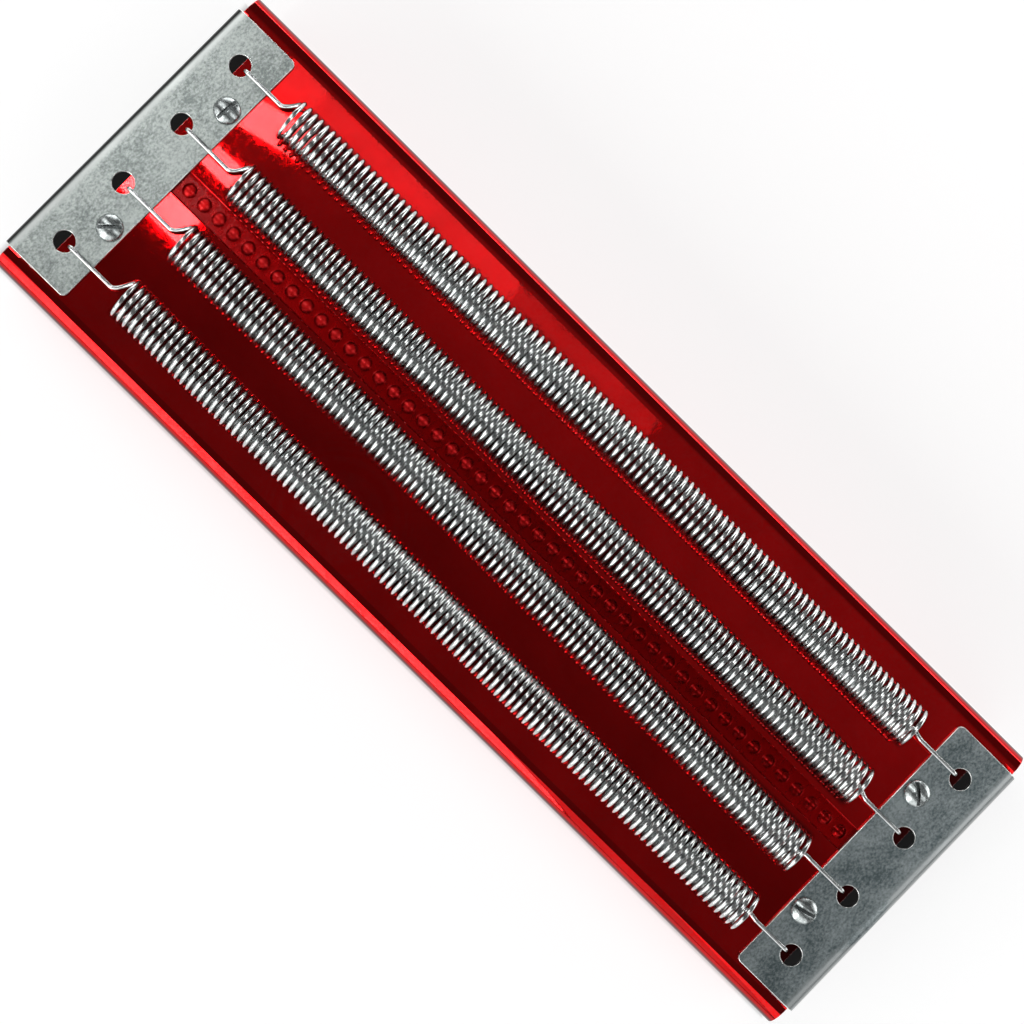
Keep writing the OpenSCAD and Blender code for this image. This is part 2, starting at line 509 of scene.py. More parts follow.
@dataclass(frozen=True)
class PaintedCoilShade:
    """Painted shade on the sheet: darker bands under the four coils and in the holes of the right bracket."""

    row_middle: float
    row_spread: float
    half_width: Pair = (4.6 * MM, 6.2 * MM)
    coil_begin: Pair = (-119 * MM, -117 * MM)
    # the open sheet between the coils and the right bracket keeps its colour, without painted shade
    bare_middle: float = 126.5 * MM
    bare_half: Pair = (4 * MM, 6 * MM)
    share: float = 0.88

    def clean(self, shader: Shader) -> Socket:
        """Tell the sheet without painted shade from the shaded bands.

        Args:
            shader: The sheet's material.

        Returns:
            A value that is 1 on the sheet without painted shade, and less in the painted shade.
        """
        half = shader.distance(shader.axis("Y"))
        off_row = shader.distance(shader.distance(half, self.row_middle), self.row_spread)
        # painted shade: bands under the coils from their left ends on, which also darken the right bracket's
        # holes
        painted_shade = shader.product(
            shader.spread(off_row, self.share, 0, *self.half_width),
            shader.spread(shader.axis("X"), 0, 1, *self.coil_begin),
            shader.away("X", self.bare_middle, 0, 1, *self.bare_half),
        )
        return shader.work_out("SUBTRACT", 1, painted_shade)


@dataclass(frozen=True)
class RedLacquer:
    """Clear red lacquer on bright rolled sheet: clouds and slow waves, with painted shade under the coils and
    a painted dark shade line along the bends.
    """

    coil_shade: PaintedCoilShade
    bend_shade_line: float
    deep: Triple = (0.48, 0.0, 0.0005)
    light: Triple = (0.60, 0.001, 0.002)
    clouds: Grain = Grain((60, 60, 60), 4)
    waves: Grain = Grain((70, 110, 110), 1)
    rough: Pair = (0.015, 0.035)
    grain_depth: float = 0.0035 * MM
    wave_depth: float = 0.014 * MM
    coat: float = 0.17
    # width and darkness of the painted shade line on the bends
    shade_line_half: Pair = (1.7 * MM, 2.5 * MM)
    shade_line_left: float = 0.16

    def material(self) -> Material:
        """Make the lacquer.

        Returns:
            The material.
        """
        shader = Shader("red_lacquer")
        grain = shader.noise(ROLLED)
        waves = shader.bump(shader.noise(self.waves), self.wave_depth)
        red = shader.blend(shader.spread(shader.noise(self.clouds), 0, 1), self.deep, self.light)
        # painted shade: a dark line along the long bends
        line = shader.away("Z", self.bend_shade_line, self.shade_line_left, 1, *self.shade_line_half)
        return shader.set(
            # the painted shade under the coils and the painted shade line darken the red
            Base_Color=shader.shade(red, shader.product(self.coil_shade.clean(shader), line)),
            Roughness=shader.spread(grain, *self.rough),
            Normal=shader.bump(grain, self.grain_depth, waves),
            Metallic=1,
            Coat_Weight=self.coat,
            Coat_Roughness=0.015,
            Coat_IOR=1.5,
        )


@dataclass(frozen=True)
class PressedLacquer:
    """The lacquer on the pressed strip: dull and dented, with a painted highlight on the bead tops of its
    left half that fades towards the right.
    """

    floor: float
    bead: float
    low: Triple = (0.20, 0.0, 0.0005)
    # colour of the painted highlight on the bead tops
    high: Triple = (0.95, 0.003, 0.005)
    dents: Grain = Grain((420, 480, 420), 2)
    rough: Pair = (0.22, 0.38)
    grain_depth: float = 0.006 * MM
    dent_depth: float = 0.03 * MM
    # metallic share, patchiness and fading along X of the painted bead highlight
    pale: float = 0.12
    patchy: float = 0.55
    fading: Pair = (-75 * MM, 45 * MM)
    faded: float = 0.05

    def material(self) -> Material:
        """Make the lacquer.

        Returns:
            The material.
        """
        shader = Shader("pressed_lacquer")
        grain = shader.noise(ROLLED)
        dents = shader.noise(self.dents)
        # painted highlight: bead tops paler and less metallic, in patches, fading out towards the right
        bead_highlight = shader.product(
            shader.spread(shader.axis("Z"), 0, 1, self.floor, self.bead),
            shader.spread(dents, self.patchy, 1),
            shader.spread(shader.axis("X"), 1, self.faded, *self.fading),
        )
        return shader.set(
            Base_Color=shader.blend(bead_highlight, self.low, self.high),
            Metallic=shader.spread(bead_highlight, 1, self.pale, 0, 1),
            Roughness=shader.spread(grain, *self.rough),
            Normal=shader.bump(grain, self.grain_depth, shader.bump(dents, self.dent_depth)),
            Coat_Weight=0.08,
            Coat_Roughness=0.12,
            Coat_IOR=1.5,
            Specular_IOR_Level=0.25,
        )


@dataclass(frozen=True)
class WornEdge:
    """Lacquer worn thin on a bent or cut edge, with the bright sheet showing in flecks, and painted shade
    where the cut edge shows through the right bracket's holes.
    """

    coil_shade: PaintedCoilShade
    lacquer: Triple = (0.62, 0.01, 0.012)
    metal: Triple = (0.86, 0.62, 0.60)
    flecks: Grain = Grain((900, 900, 900), 4, 0.7)
    bare: Pair = (0.52, 0.62)
    rough: Pair = (0.16, 0.34)
    depth: float = 0.004 * MM

    def material(self) -> Material:
        """Make the edge.

        Returns:
            The material.
        """
        shader = Shader("worn_edge")
        flecks = shader.noise(self.flecks)
        tone = shader.blend(shader.spread(flecks, 0, 1, *self.bare), self.lacquer, self.metal)
        return shader.set(
            # painted shade from the coils' bands darkens the cut edge seen through the right bracket's holes
            Base_Color=shader.shade(tone, self.coil_shade.clean(shader)),
            Roughness=shader.spread(flecks, *self.rough),
            Normal=shader.bump(flecks, self.depth),
            Metallic=1,
            Coat_Weight=0.3,
            Coat_Roughness=0.1,
        )


@dataclass(frozen=True)
class Zinc:
    """Zinc on pressed steel, with soft spangle, speckle and fine scratches along Y, a painted highlight on
    the outer bend broken by dark patches, and a painted dark shade line along the bend.
    """

    name: str
    dull: Triple
    bright: Triple
    # colour of the painted highlight on the outer bend
    bend: Triple
    highlight_in_gaps: float = 1
    rough: Pair = (0.30, 0.40)
    spangle: Grain = Grain((95, 70, 95), 4, 0.6)
    spangle_share: float = 0.16
    speckle: Grain = Grain((1500, 1100, 1500), 4, 0.75)
    tones: Pair = (0.32, 0.68)
    scratches: Grain = Grain((1700, 160, 1700))
    highlight_gaps: Grain = Grain((60, 38, 60))
    highlight_gap_edge: Pair = (0.56, 0.62)
    # where the painted highlight on the outer bend begins along X and up Z
    bend_begin: Pair = (147.6 * MM, 149.4 * MM)
    bend_end: Pair = (45 * MM, 48 * MM)
    # painted shade: a dark line along the bend, centred at this height
    line: float = 49.2 * MM
    shade_line_half: Pair = (1.5 * MM, 2.1 * MM)
    shade_line_left: float = 1
    speckle_depth: float = 0.008 * MM
    scratch_depth: float = 0.004 * MM

    def material(self) -> Material:
        """Make the plating.

        Returns:
            The material.
        """
        shader = Shader(self.name)
        spangle = shader.noise(self.spangle)
        speckle = shader.noise(self.speckle)
        patches = shader.spread(spangle, -self.spangle_share, self.spangle_share)
        tone = shader.spread(shader.work_out("ADD", speckle, patches), 0, 1, *self.tones)
        # painted highlight: the outer bend lighter, broken by dark patches
        wear_and_highlight = shader.product(
            shader.away("X", 0, 0, 1, *self.bend_begin),
            shader.spread(shader.axis("Z"), 0, 1, *self.bend_end),
            shader.spread(shader.noise(self.highlight_gaps), 1, self.highlight_in_gaps, *self.highlight_gap_edge),
        )
        colour = shader.blend(wear_and_highlight, shader.blend(tone, self.dull, self.bright), self.bend)
        # painted shade line along the bend
        line = shader.away("Z", self.line, self.shade_line_left, 1, *self.shade_line_half)
        scratches = shader.bump(shader.noise(self.scratches), self.scratch_depth)
        return shader.set(
            Base_Color=shader.shade(colour, line),
            Roughness=shader.spread(spangle, *self.rough),
            Normal=shader.bump(speckle, self.speckle_depth, scratches),
            Metallic=1,
        )


@dataclass(frozen=True)
class BrightMetal:
    """Bright plating with a cloudy or pitted tone, and fine marks."""

    name: str
    shade: Triple
    bright: Triple
    tone: Grain = Grain((1800, 1800, 1800), 4, 0.7)
    tone_depth: float = 0.008 * MM
    marks: Grain = Grain((500, 2600, 900), 2)
    mark_depth: float = 0.004 * MM
    rough: Pair = (0.18, 0.34)

    def material(self) -> Material:
        """Make the plating.

        Returns:
            The material.
        """
        shader = Shader(self.name)
        tone = shader.noise(self.tone)
        marks = shader.noise(self.marks)
        normal = shader.bump(marks, self.mark_depth)
        if self.tone_depth:
            normal = shader.bump(tone, self.tone_depth, normal)
        return shader.set(
            Base_Color=shader.blend(shader.spread(tone, 0, 1), self.shade, self.bright),
            Roughness=shader.spread(marks, *self.rough),
            Normal=normal,
            Metallic=1,
        )


# The object's places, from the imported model


@dataclass(frozen=True)
class Layout:
    """Places that several pieces share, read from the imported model."""

    half_length: float
    half_width: float
    plate: float
    bracket_inner: float
    bracket_outer: float
    bracket_top: float
    bracket_bottom: float
    bracket_half_width: float
    rows: tuple[float, ...]
    screws: tuple[Vector, ...]
    bracket_sheet: float = 1.5 * MM
    sheet: float = 1.2 * MM
    hole_inset: float = 10 * MM
    hook_hole: float = 6.1 * MM
    screw_hole: float = 4.4 * MM

    @classmethod
    def from_frame(cls) -> "Layout":
        """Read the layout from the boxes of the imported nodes.

        Returns:
            The layout.
        """
        _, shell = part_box("body_shell")
        low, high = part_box("right_bracket")
        rows = [sum(corner.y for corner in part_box(f"spring_{k}")) / 2 for k in range(1, 5)]
        screws = []
        for k in range(1, 5):
            start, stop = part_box(f"screw_{k}")
            screws.append(Vector(((start.x + stop.x) / 2, (start.y + stop.y) / 2, high.z)))
        return cls(
            half_length=shell.x,
            half_width=shell.y,
            plate=high.z - cls.bracket_sheet,
            bracket_inner=low.x,
            bracket_outer=high.x,
            bracket_top=high.z,
            bracket_bottom=low.z,
            bracket_half_width=high.y,
            rows=tuple(rows),
            screws=tuple(screws),
        )

    @property
    def hole_x(self) -> float:
        """Distance of the hook holes from the middle of the object."""
        return self.half_length - self.hole_inset

    @property
    def grip(self) -> float:
        """Thickness that a screw holds together."""
        return self.bracket_sheet + self.sheet


# Sub-assemblies


@dataclass
class FoldedSheet:
    """The red channel: a plate with two rounded long bends, side walls and a beaded strip."""

    layout: Layout
    bend: float = 5.5 * MM
    bend_steps: int = 16
    # depth of the painted shade line on the bends, as a share of their radius below the plate
    bend_shade_line_share: float = 0.87
    cut_back: float = 9.8 * MM
    edge_round: float = 0.16 * MM
    screw_hole_sides: int = 32
    strip_width: float = 7.6 * MM
    strip_depth: float = 0.4 * MM
    strip_tuck: float = 2 * MM
    rim_width: float = 0.5 * MM
    rim_steps: int = 4
    bead_pitch: float = 5.6 * MM
    bead_count: int = 46
    bead_width: float = 3.8 * MM
    bead_height: float = 0.9 * MM
    bead_rings: int = 6
    bead_sides: int = 24
    foot_rise: float = 0.14 * MM
    foot_reach: float = 0.4 * MM
    foot_shares: Triple = (0.35, 0.7, 1.0)
    ledge: float = 0.8 * MM

    @property
    def flat(self) -> float:
        """Half of the plate's flat width."""
        return self.layout.half_width - self.bend

    @property
    def plate_end(self) -> float:
        """Distance of the cut-back plate's ends from the middle of the object."""
        return self.layout.half_length - self.cut_back

    @property
    def strip_floor(self) -> float:
        """Height of the pressed strip."""
        return self.layout.plate - self.strip_depth

    @property
    def rim_start(self) -> Pair:
        """Half length and half width of the strip's floor, inside its sloping rim."""
        long = self.layout.bracket_inner + self.strip_tuck
        return long - self.rim_width / 2, (self.strip_width - self.rim_width) / 2

    @property
    def bend_shade_line(self) -> float:
        """Height of the painted dark shade line on the bends."""
        return self.layout.plate - self.bend_shade_line_share * self.bend

    def bead_profile(self) -> Profile:
        """Give a bead's half section, from its top out to the strip.

        Returns:
            Radius and height over the strip of each point.
        """
        half = self.bead_width / 2
        radius = (half * half + self.bead_height ** 2) / (2 * self.bead_height)
        stop = math.acos(1 - (self.bead_height - self.foot_rise) / radius)
        angles = [stop * k / self.bead_rings for k in range(self.bead_rings + 1)]
        points = [(radius * math.sin(a), self.bead_height - radius * (1 - math.cos(a))) for a in angles]
        foot = points[-1][0]
        knee = foot + self.foot_rise / math.tan(stop)
        outer = foot + self.foot_reach
        for t in self.foot_shares:
            across = foot * (1 - t) ** 2 + 2 * knee * t * (1 - t) + outer * t * t
            points.append((across, self.foot_rise * (1 - t) ** 2))
        return points

    def cell_place(self, vert: Vector) -> Vector:
        """Carry a vertex of the ring round a bead out to the border of the bead's cell.

        Args:
            vert: Its place, about the middle of the bead.

        Returns:
            Its place on the border, with the middle one of each quarter in a corner.
        """
        half_x = self.bead_pitch / 2
        _, half_y = self.rim_start
        angle = math.atan2(vert.y, vert.x)
        step = round(angle / (math.tau / self.bead_sides))
        quarter = self.bead_sides // 4
        if step % quarter == quarter // 2:
            return Vector((math.copysign(half_x, vert.x), math.copysign(half_y, vert.y), vert.z))
        reach = max(abs(math.cos(angle)) / half_x, abs(math.sin(angle)) / half_y)
        return Vector((math.cos(angle) / reach, math.sin(angle) / reach, vert.z))

    def beaded_strip(self) -> Mesh:
        """Make the pressed strip with its beads and the slope up to the plate.

        Returns:
            The open surface, whose border lies level with the plate.
        """
        mesh = bmesh.new()
        lathe(mesh, self.bead_profile(), self.bead_sides)
        for vert in extend(mesh, border_of(mesh)):
            vert.co = self.cell_place(vert.co)
        cell = mesh.verts[:] + mesh.edges[:] + mesh.faces[:]
        for k in range(1, self.bead_count):
            copy = verts_of(bmesh.ops.duplicate(mesh, geom=cell)["geom"])
            bmesh.ops.translate(mesh, verts=copy, vec=(k * self.bead_pitch, 0, 0))
        first = -(self.bead_count - 1) / 2 * self.bead_pitch
        bmesh.ops.translate(mesh, verts=mesh.verts[:], vec=(first, 0, self.strip_floor))
        bmesh.ops.remove_doubles(mesh, verts=mesh.verts[:], dist=WELD)
        self.raise_rim(mesh)
        return mesh

    def raise_rim(self, mesh: Mesh) -> None:
        """Run the strip in under the brackets and slope its border up to the plate.

        Args:
            mesh: The strip.
        """
        half_x, half_y = self.rim_start
        beads_end = self.bead_count * self.bead_pitch / 2
        for vert in mesh.verts:
            if abs(vert.co.x) > beads_end - WELD:
                vert.co.x = math.copysign(half_x, vert.co.x)
        out = self.rim_width / self.rim_steps
        for k in range(self.rim_steps):
            share = (k + 1) / self.rim_steps
            rise = self.strip_depth * (1 - math.cos(math.pi * share)) / 2
            for vert in extend(mesh, border_of(mesh)):
                if abs(vert.co.x) > half_x + out * k - WELD:
                    vert.co.x += math.copysign(out, vert.co.x)
                if abs(vert.co.y) > half_y + out * k - WELD:
                    vert.co.y += math.copysign(out, vert.co.y)
                vert.co.z = self.strip_floor + rise

    def plate(self, mesh: Mesh) -> None:
        """Fill the flat plate round the strip and the four screw holes.

        Args:
            mesh: The strip, which gets the plate.
        """
        layout = self.layout
        end = self.plate_end
        inner = self.flat - self.ledge
        corners = ((-end, -self.flat), (end, -self.flat), (end, -inner), (end, inner),
                   (end, self.flat), (-end, self.flat), (-end, inner), (-end, -inner))
        border = border_of(mesh)
        verts = [bmesh.ops.create_vert(mesh, co=(x, y, layout.plate))["vert"][0] for x, y in corners]
        border += [mesh.edges.new((verts[k - 1], verts[k])) for k in range(len(verts))]
        for screw in layout.screws:
            place = Matrix.Translation((screw.x, screw.y, layout.plate))
            circle = bmesh.ops.create_circle(mesh, segments=self.screw_hole_sides,
                                             radius=layout.screw_hole / 2, matrix=place)
            border += list({edge for vert in circle["verts"] for edge in vert.link_edges})
        fill_flat(mesh, border)

    def wing(self, mesh: Mesh, side: int) -> None:
        """Add one long bend, its side wall, and the narrow ledges that it leaves beside the brackets.

        Args:
            mesh: The mesh that gets them.
            side: Sign of Y.
        """
        layout = self.layout
        along = (-layout.half_length, -self.plate_end, self.plate_end, layout.half_length)
        row = chain(mesh, [Vector((x, side * self.flat, layout.plate)) for x in along])
        ends = [edge for edge in edges_of(row) if abs(sum(vert.co.x for vert in edge.verts)) > self.plate_end]
        bmesh.ops.translate(mesh, verts=extend(mesh, ends), vec=(0, -side * self.ledge, 0))
        centre = (0, side * self.flat, layout.plate - self.bend)
        spun = bmesh.ops.spin(mesh, geom=row, cent=centre, axis=(1, 0, 0), angle=-side * math.pi / 2,
                              steps=self.bend_steps)
        foot = extend(mesh, edges_of(spun["geom_last"]))
        bmesh.ops.translate(mesh, verts=foot, vec=(0, 0, self.bend - layout.plate))

    def inward(self, place: Vector) -> Vector:
        """Give the step from the outer face of the sheet to its inner face.

        Args:
            place: A place on the outer face.

        Returns:
            The step.
        """
        if abs(place.y) <= self.flat + WELD:
            return Vector((0, 0, -self.layout.sheet))
        side = math.copysign(1, place.y)
        rise = max(place.z - self.layout.plate + self.bend, 0)
        return -Vector((0, place.y - side * self.flat, rise)).normalized() * self.layout.sheet

    def build(self, lacquer: Material, worn: Material, pressed: Material) -> None:
        """Make the folded sheet.

        Args:
            lacquer: Finish of the sheet.
            worn: Finish of its cut edges.
            pressed: Finish of the beaded strip.
        """
        worn_index, pressed_index = 1, 2
        mesh = self.beaded_strip()
        self.plate(mesh)
        for side in (1, -1):
            self.wing(mesh, side)
        bmesh.ops.remove_doubles(mesh, verts=mesh.verts[:], dist=WELD)
        thicken(mesh, self.inward)
        for face in mesh.faces:
            over_strip = abs(face.calc_center_median().y) < self.strip_width / 2
            of_strip = len(face.verts) <= 4        # the plate is filled with larger faces
            if over_strip and of_strip:
                face.material_index = pressed_index
        round_edges(mesh, self.edge_round, 2, index=worn_index)
        add_piece(mesh, "folded_sheet", Slot.RED_SHEET, "body_shell", lacquer, worn, pressed)


@dataclass
class AngleBracket:
    """A plated angle bracket with four hook holes and two screw holes."""

    layout: Layout
    end: End
    bend: float = 3 * MM
    bend_steps: int = 12
    corner: float = 1.7 * MM
    corner_steps: int = 6
    hole_sides: int = 40
    edge_round: float = 0.22 * MM

    @property
    def bend_start(self) -> float:
        """Distance of the bend from the middle of the object."""
        return self.layout.bracket_outer - self.bend

    def flange(self, mesh: Mesh) -> None:
        """Fill the flange that lies on the plate, with its holes.

        Args:
            mesh: The mesh that gets it.
        """
        layout = self.layout
        inner, outer = layout.bracket_inner, self.bend_start
        centre = Matrix.Translation(((inner + outer) / 2, 0, layout.bracket_top))
        size = Matrix.Diagonal(((outer - inner) / 2, layout.bracket_half_width, 1, 1))
        bmesh.ops.create_grid(mesh, x_segments=1, y_segments=1, size=1, matrix=centre @ size)
        self.round_corners(mesh, lambda place: place.x < inner + WELD)
        bmesh.ops.delete(mesh, geom=mesh.faces[:], context="FACES_ONLY")
        holes = [(layout.hole_x, row, layout.hook_hole) for row in layout.rows]
        holes += [(screw.x, screw.y, layout.screw_hole) for screw in layout.screws if screw.x > 0]
        for x, y, width in holes:
            place = Matrix.Translation((x, y, layout.bracket_top))
            bmesh.ops.create_circle(mesh, segments=self.hole_sides, radius=width / 2, matrix=place)
        fill_flat(mesh, mesh.edges[:])

    def round_corners(self, mesh: Mesh, wanted: Callable[[Vector], bool]) -> None:
        """Round the free corners of a flange.

        Args:
            mesh: The mesh that has the flange.
            wanted: Says for a place whether its corner is rounded.
        """
        corners = [vert for vert in mesh.verts if wanted(vert.co)]
        bmesh.ops.bevel(mesh, geom=corners, offset=self.corner, offset_type="OFFSET", affect="VERTICES",
                        segments=self.corner_steps, profile=0.5, material=-1, clamp_overlap=False)

    def fold(self, mesh: Mesh) -> None:
        """Bend the flange over the channel's end and hang the second flange from it.

        Args:
            mesh: The mesh that has the first flange.
        """
        layout = self.layout
        start = self.bend_start
        edges = [edge for edge in mesh.edges if all(vert.co.x > start - WELD for vert in edge.verts)]
        row = edges + list({vert for edge in edges for vert in edge.verts})
        centre = (start, 0, layout.bracket_top - self.bend)
        spun = bmesh.ops.spin(mesh, geom=row, cent=centre, axis=(0, 1, 0), angle=math.pi / 2,
                              steps=self.bend_steps)
        for vert in extend(mesh, edges_of(spun["geom_last"])):
            vert.co.z = layout.bracket_bottom
        self.round_corners(mesh, lambda place: place.z < layout.bracket_bottom + WELD)

    def inward(self, place: Vector) -> Vector:
        """Give the step from the outer face of the bracket to its inner face.

        Args:
            place: A place on the outer face.

        Returns:
            The step.
        """
        out = max(place.x - self.bend_start, 0)
        rise = max(place.z - self.layout.bracket_top + self.bend, 0)
        arm = Vector((out, 0, rise)) if out else Vector((0, 0, 1))
        return -arm.normalized() * self.layout.bracket_sheet

    def build(self, finish: Material, wear_and_highlight: Material) -> None:
        """Make the bracket.

        Args:
            finish: Its plating.
            wear_and_highlight: The plating on its edges, worn pale with a painted highlight.
        """
        mesh = bmesh.new()
        self.flange(mesh)
        self.fold(mesh)
        thicken(mesh, self.inward)
        round_edges(mesh, self.edge_round, 2, index=1)
        if self.end is End.LEFT:
            bmesh.ops.scale(mesh, verts=mesh.verts[:], vec=(-1, 1, 1))
            bmesh.ops.reverse_faces(mesh, faces=mesh.faces[:])
        name = self.end.name.lower()
        add_piece(mesh, f"{name}_angle_bracket", Slot.BRACKET, f"{name}_bracket", finish, wear_and_highlight)


@dataclass(frozen=True)
class Lead:
    """How a bare wire goes from the coil to its hook: where it pulls first, then knees, then ends."""

    pull: Triple
    knee: float
    knee_aside: float
    reach: float


LEADS = {
    End.LEFT: Lead((-1.0 * MM, 0.4 * MM, -3.6 * MM), -3.4 * MM, -0.2 * MM, -5.4 * MM),
    End.RIGHT: Lead((0.5 * MM, 1.6 * MM, 0), 1.6 * MM, 0.3 * MM, 4.4 * MM),
}


@dataclass
class CoilSpring:
    """A wound spring and its two hooks, one piece of wire."""

    layout: Layout
    number: int
    coil_left: float
    coil_right: float
    whole_turns: int
    bow: Triple
    bow_places: Triple = (-93 * MM, 2 * MM, 99 * MM)
    last_turn: float = 0.75
    coil_width: float = 12.7 * MM
    wire: float = 1.3 * MM
    hook_gap: float = 0.25 * MM
    hook_bend: float = 0.875 * MM
    hook_room: float = 0.3 * MM
    wire_sides: int = 12
    turn_steps: int = 36
    lead_steps: int = 18
    hook_steps: int = 8

    @property
    def node(self) -> str:
        """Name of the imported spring."""
        return f"spring_{self.number}"

    @property
    def row(self) -> float:
        """Place of the spring's hooks across the plate."""
        return self.layout.rows[self.number - 1]

    @property
    def hook_height(self) -> float:
        """Height of the wire's centreline over the bracket."""
        return self.layout.bracket_top + self.hook_gap + self.wire / 2

    def sideways(self, x: float) -> float:
        """Give the coil's small bow at a place along it, on the smooth curve through its three bows.

        Args:
            x: The place.

        Returns:
            How far the coil's axis lies from the row of its hooks.
        """
        total = 0.0
        for place, bow in zip(self.bow_places, self.bow):
            others = [other for other in self.bow_places if other != place]
            total += bow * math.prod((x - other) / (place - other) for other in others)
        return total

    def coil(self) -> list[Vector]:
        """Give the centreline of the coil.

        Returns:
            Its points, from the left end to the right end.
        """
        count = round((self.whole_turns + self.last_turn) * self.turn_steps)
        radius = (self.coil_width - self.wire) / 2
        _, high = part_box(self.node)
        axis = high.z - self.coil_width / 2
        points = []
        for k in range(count + 1):
            angle = math.tau * k / self.turn_steps
            x = self.coil_left + (self.coil_right - self.coil_left) * k / count
            y = self.row + self.sideways(x) + radius * math.cos(angle)
            points.append(Vector((x, y, axis + radius * math.sin(angle))))
        return points

    def lead(self, start: Vector, end: End) -> list[Vector]:
        """Lead the wire from the coil to the line of its hook.

        Args:
            start: The coil's end.
            end: Which end of the spring it is.

        Returns:
            Points on the smooth curve of four knots, without its first one.
        """
        way = LEADS[end]
        knee = Vector((start.x + way.knee, self.row + way.knee_aside, self.hook_height))
        stop = Vector((start.x + way.reach, self.row, self.hook_height))
        points = []
        for k in range(1, self.lead_steps + 1):
            t = k / self.lead_steps
            s = 1 - t
            near = start * s ** 3 + (start + Vector(way.pull)) * 3 * t * s ** 2
            points.append(near + knee * 3 * t ** 2 * s + stop * t ** 3)
        return points

    def hook(self, end: End) -> list[Vector]:
        """Bend the wire down through the bracket's hole, and end it over the plate.

        Args:
            end: Which end of the spring it is.

        Returns:
            The points from the straight wire to the wire's end.
        """
        low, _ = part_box(self.node)
        leg = self.layout.hole_x - self.layout.hook_hole / 2 + self.hook_room + self.wire / 2
        points = []
        for k in range(self.hook_steps + 1):
            angle = math.pi / 2 * k / self.hook_steps
            x = leg - self.hook_bend * (1 - math.sin(angle))
            z = self.hook_height - self.hook_bend * (1 - math.cos(angle))
            points.append(Vector((end.value * x, self.row, z)))
        return points + [Vector((end.value * leg, self.row, low.z))]

    def path(self) -> list[Vector]:
        """Give the centreline of the whole wire.

        Returns:
            Its points, from the left hook to the right one.
        """
        coil = self.coil()
        left = self.lead(coil[0], End.LEFT) + self.hook(End.LEFT)
        return left[::-1] + coil + self.lead(coil[-1], End.RIGHT) + self.hook(End.RIGHT)

    def build(self, finish: Material) -> None:
        """Sweep the wire along its path.

        Args:
            finish: The wire's plating.
        """
        name = f"coil_spring_{self.number}"
        path = self.path()
        line = bpy.data.curves.new(name, "CURVE")
        line.dimensions = "3D"
        line.bevel_depth = self.wire / 2
        line.bevel_resolution = (self.wire_sides - 4) // 2
        line.use_fill_caps = True
        spline = line.splines.new("POLY")
        spline.points.add(len(path) - 1)
        spline.points.foreach_set("co", [value for point in path for value in (*point, 1)])
        mesh = read_back(add_object(f"{name}_line", line))
        bpy.data.curves.remove(line)
        face_outwards(mesh)
        add_piece(mesh, name, Slot.WIRE, self.node, finish, body=f"coil_{self.number}")


